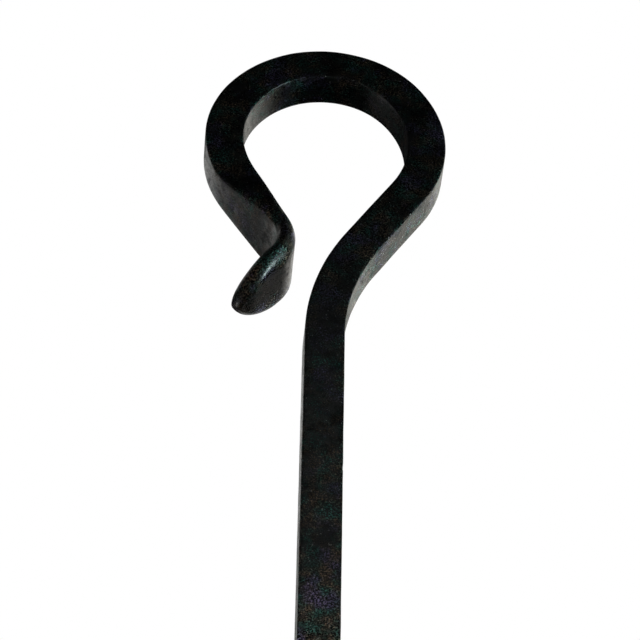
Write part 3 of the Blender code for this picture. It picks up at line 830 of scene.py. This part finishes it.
CROOK = (0, -12, 95)            # what most lights round the crook face, in mm
NEUTRAL = (1.0, 1.0, 0.98)
WARM = (1.0, 0.975, 0.9)
COOL = (0.92, 1.0, 0.99)
TEAL = (0.8, 1.0, 1.0)
DEEP_TEAL = (0.78, 1.0, 1.0)
# Name, place, what it faces, width and height (all in mm), watts, colour and, where it is
# narrow, the angle of its cone in degrees. A narrow light is for the crook or for the plates
# and leaves the other alone.
LIGHTS = (
    ("key_right", (192, -16, 47), (0, -12, 118), (75, 75), 0.038, TEAL, 30),
    ("left_low", (-158, -14, -27), CROOK, (75, 75), 0.13, NEUTRAL),
    ("right_glint", (180, -62, 25), CROOK, (45, 45), 0.085, DEEP_TEAL),
    ("front_right", (104, -172, 155), CROOK, (75, 75), 0.002, COOL),
    ("front", (8, -140, 158), (0, -15, 60), (60, 60), 0.0082, COOL),
    ("left_high", (-158, -6, 217), CROOK, (75, 75), 0.03, NEUTRAL),
    ("back_right", (112, 108, 209), CROOK, (125, 125), 0.062, WARM),
    ("back_left", (-38, 15, 134), (-17, -12, 117), (20, 38), 0.0021, NEUTRAL),
    ("left_strip", (-10, 18, 84), (-3, -12, 60), (10, 90), 0.0026, NEUTRAL),
    ("plate_left", (-180, -200, -50), (4, -8, -20), (120, 100), 0.05, NEUTRAL, 20),
    ("plate_right", (190, -190, -40), (8, -8, -20), (120, 100), 0.07, NEUTRAL, 20),
    ("rear_left", (-220, 220, -85), (0, 0, -14), (150, 120), 0.018, NEUTRAL, 24),
    ("rear_right", (230, 220, -85), (8, 0, -14), (150, 120), 0.018, NEUTRAL, 24),
    ("rear", (0, 300, -70), (4, 0, -14), (150, 120), 0.018, NEUTRAL, 24),
)


def add_camera():
    ahead = Vector((sin(CAMERA_AZIMUTH) * cos(CAMERA_RISE),
                    cos(CAMERA_AZIMUTH) * cos(CAMERA_RISE), sin(CAMERA_RISE)))
    right = ahead.cross(Vector((0, 0, 1))).normalized()
    up = right.cross(ahead)
    rolled_right = right * cos(CAMERA_ROLL) + up * sin(CAMERA_ROLL)
    rolled_up = up * cos(CAMERA_ROLL) - right * sin(CAMERA_ROLL)
    turn = Matrix((rolled_right, rolled_up, -ahead)).transposed()
    data = bpy.data.cameras.new("camera")
    data.lens = CAMERA_LENS
    data.sensor_width = CAMERA_SENSOR
    data.clip_start = 0.01
    data.clip_end = 50
    camera = new_object("camera", data)
    camera.matrix_world = Matrix.Translation(AIM - ahead * CAMERA_DISTANCE) @ turn.to_4x4()
    bpy.context.scene.camera = camera


def soft_light(name, place, aim, size, power, colour, spread=180):
    """A soft light panel that the camera doesn't see."""
    data = bpy.data.lights.new(name, 'AREA')
    data.shape = 'RECTANGLE'
    data.size, data.size_y = (side * MM for side in size)
    data.energy = power
    data.color = colour
    data.spread = radians(spread)
    lamp = new_object(name, data)
    lamp.location = Vector(place) * MM
    lamp.rotation_mode = 'QUATERNION'
    lamp.rotation_quaternion = (Vector(aim) - Vector(place)).to_track_quat('-Z', 'Y')
    lamp.visible_camera = False


def add_world():
    """White where the camera sees it, and a faint cool fill for everything else."""
    world = bpy.data.worlds.new("studio")
    bpy.context.scene.world = world
    world.use_nodes = True
    tree = world.node_tree
    tree.nodes.clear()
    out = tree.nodes.new("ShaderNodeOutputWorld")
    mix = tree.nodes.new("ShaderNodeMixShader")
    seen = tree.nodes.new("ShaderNodeBackground")
    seen.inputs["Color"].default_value = (1, 1, 1, 1)
    lit = tree.nodes.new("ShaderNodeBackground")
    lit.inputs["Color"].default_value = WORLD_COLOUR
    lit.inputs["Strength"].default_value = WORLD_STRENGTH
    path = tree.nodes.new("ShaderNodeLightPath")
    tree.links.new(path.outputs["Is Camera Ray"], mix.inputs[0])
    tree.links.new(lit.outputs[0], mix.inputs[1])
    tree.links.new(seen.outputs[0], mix.inputs[2])
    tree.links.new(mix.outputs[0], out.inputs["Surface"])


def add_floor():
    """A wide pale floor that doesn't light the object or show in its gloss."""
    bm = bmesh.new()
    bmesh.ops.create_grid(bm, x_segments=8, y_segments=8, size=FLOOR_REACH)
    bmesh.ops.translate(bm, verts=bm.verts, vec=(0, 0, FLOOR_HEIGHT))
    floor = new_object("floor", new_mesh("floor", bm))
    floor.data.materials.append(floor_look())
    floor.visible_glossy = False
    floor.visible_diffuse = False


def main():
    forged, plate, screw = (black_iron(name) for name in IRONS)
    brass, spring = (turned_metal(name) for name in TURNED)
    slot_looks = {"forged_iron": forged, "plate_iron": plate}
    make_crook(forged)
    for name, node_name, body, slot, voxel, hammer, seed in FORGINGS:
        forge(name, node_name, body, voxel, hammer, seed, slot_looks[slot])
    make_rivet(forged)
    make_cross_pin(forged)
    make_disc("turned_bearing_washer", "bearing_washer", brass,
              WASHER_BORE, BEARING_RADIUS)
    make_disc("turned_front_washer", "front_washer", plate,
              WASHER_BORE, FRONT_RADIUS)
    make_disc("coned_spring_washer", "spring_washer", spring,
              WASHER_BORE, SPRING_RADIUS, SPRING_CONE)
    make_screws(screw)
    add_camera()
    add_world()
    add_floor()
    for light in LIGHTS:
        soft_light(*light)
    bpy.context.scene.view_settings.view_transform = 'Standard'


main()
